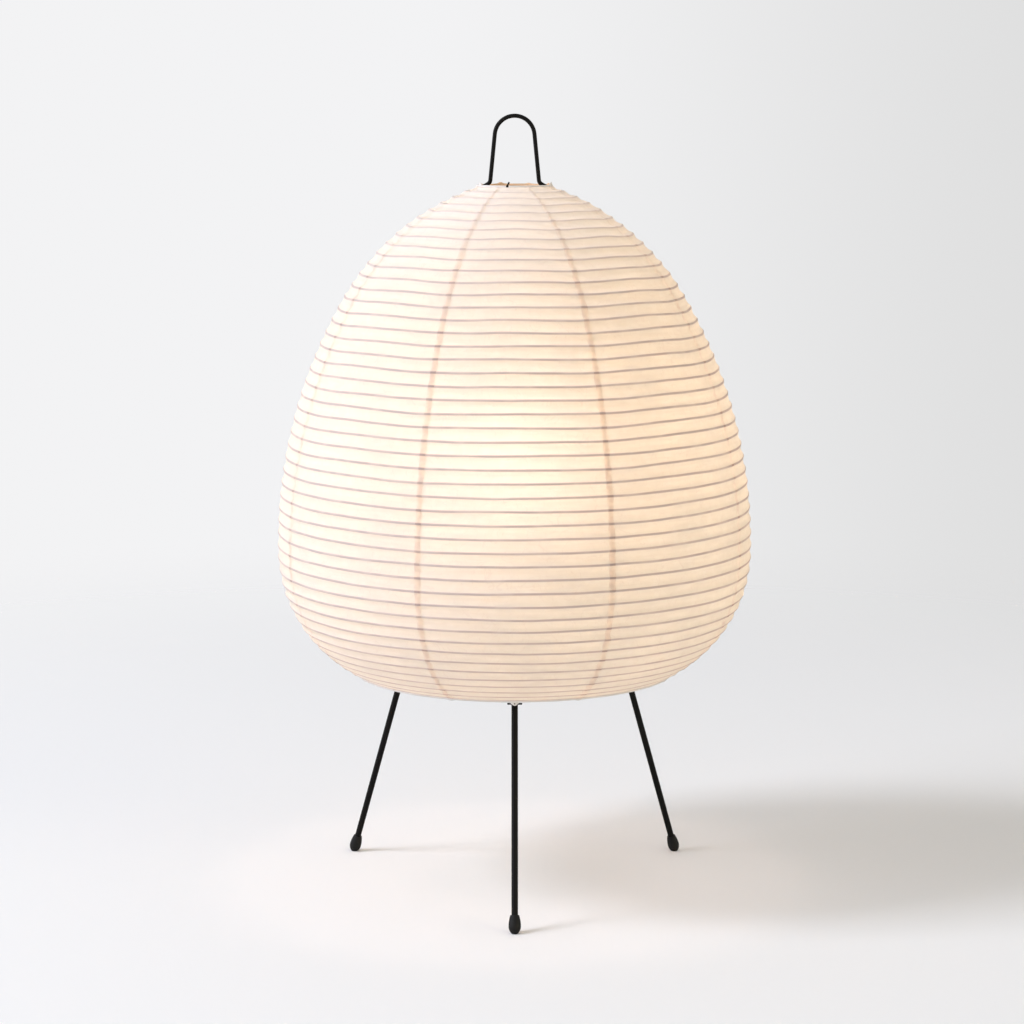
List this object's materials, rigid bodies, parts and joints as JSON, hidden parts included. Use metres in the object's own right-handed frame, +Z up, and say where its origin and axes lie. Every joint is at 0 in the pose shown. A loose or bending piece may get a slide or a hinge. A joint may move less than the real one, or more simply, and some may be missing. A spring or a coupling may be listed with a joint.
{
  "type": "table lamp",
  "caption": "Egg-shaped ribbed paper table lamp on thin splayed wire legs, with a carrying loop and a screw-in bulb inside.",
  "frame": {"origin": "on the floor, below the lamp's axis", "axes": "+Z up along the lamp's axis, front leg towards -Y, the loop lies in the X-Z plane"},
  "size_m": [0.2638, 0.2638, 0.43],
  "materials": {
    "paper": "translucent mulberry paper with fine wrinkles",
    "hoop": "thin bamboo hoop",
    "black_wire": "satin black paint",
    "foot_rubber": "matte black rubber",
    "hub_paint": "satin black paint",
    "steel": "zinc plated",
    "white_plastic": "matte moulded",
    "brass": "plain",
    "ceramic": "unglazed",
    "nickel": "bright plated",
    "black_glass": "gloss",
    "opal": "opal, lit",
    "board": "white solder mask",
    "led": "phosphor"
  },
  "bodies": {
    "base": {"stretcher_wire": "black_wire", "leg_1": "black_wire", "leg_2": "black_wire", "leg_3": "black_wire", "ring_clip_1": "black_wire", "ring_clip_2": "black_wire", "ring_clip_3": "black_wire", "foot_1": "foot_rubber", "foot_2": "foot_rubber", "foot_3": "foot_rubber", "hub": "hub_paint", "leg_screws": "steel", "stretcher_screws": "steel", "nipple": "steel", "lock_washer": "steel", "lock_nut": "steel", "terminal_screws": "steel", "holder_base": "white_plastic", "holder_shell": "white_plastic", "cord_bush": "white_plastic", "holder_screw_shell": "brass", "centre_contact": "brass", "terminal_block": "ceramic"},
    "shade": {"paper_gore_1": "paper", "paper_gore_2": "paper", "paper_gore_3": "paper", "paper_gore_4": "paper", "paper_gore_5": "paper", "paper_gore_6": "paper", "paper_gore_7": "paper", "paper_gore_8": "paper", "rib_hoops": "hoop", "top_ring": "black_wire", "top_ring_tie": "black_wire"},
    "shade_rim": {"bottom_ring": "black_wire", "rim_tab_1": "paper", "rim_tab_2": "paper", "rim_tab_3": "paper"},
    "bulb_tip": {"bulb_tip": "nickel", "bulb_insulator": "black_glass"},
    "bulb": {"bulb_globe": "opal", "bulb_collar": "white_plastic", "bulb_cap": "nickel", "led_board": "board", "led_chips": "led"}
  },
  "joints": [
    {"name": "shade_lift", "type": "slide", "parent": "base", "child": "shade", "axis": [0, 0, 1], "range_m": [0, 0.32]},
    {"name": "shade_fold", "type": "slide", "parent": "shade", "child": "shade_rim", "axis": [0, 0, 1], "range_m": [0, 0.22], "deforming": ["paper_gore_1", "paper_gore_2", "paper_gore_3", "paper_gore_4", "paper_gore_5", "paper_gore_6", "paper_gore_7", "paper_gore_8", "rib_hoops"]},
    {"name": "bulb_rise", "type": "slide", "parent": "base", "child": "bulb_tip", "axis": [0, 0, 1], "range_m": [0, 0.0091]},
    {"name": "bulb_turn", "type": "hinge", "parent": "bulb_tip", "child": "bulb", "pos_m": [0, 0, 0.2], "axis": [0, 0, 1], "range_deg": [0, 900]}
  ],
  "couplings": [
    {"joint": "bulb_rise", "follows": "bulb_turn", "m_per_rad": 0.00057757}
  ]
}
